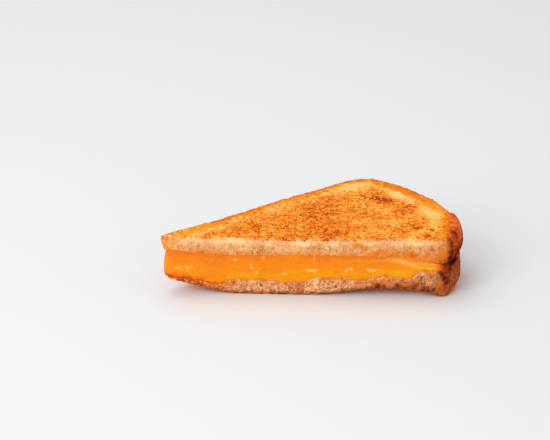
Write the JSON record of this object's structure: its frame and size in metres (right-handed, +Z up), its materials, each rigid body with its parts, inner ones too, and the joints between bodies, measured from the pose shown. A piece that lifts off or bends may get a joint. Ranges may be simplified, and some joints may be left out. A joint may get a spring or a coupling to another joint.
{
  "type": "grilled cheese sandwich half",
  "caption": "Diagonal half of a grilled cheese sandwich: toasted bread above and below a thick layer of melted cheese that sags out along the cut.",
  "frame": {"origin": "bottom centre of the whole box, on the surface that the sandwich half rests on", "axes": "+X along the cut from the sharp tip to the loaf's shoulder, +Y away from the cut face towards the bread's square corner, +Z up"},
  "size_m": [0.1398, 0.0916, 0.0289],
  "materials": {
    "toasted_bread": "matte golden toast, crumb at the cut and brown crust round the edge",
    "melted_cheese": "smooth satin melted cheese"
  },
  "bodies": {
    "root": {"lower_slice": "toasted_bread", "cheese": "melted_cheese", "upper_slice": "toasted_bread"}
  },
  "joints": []
}
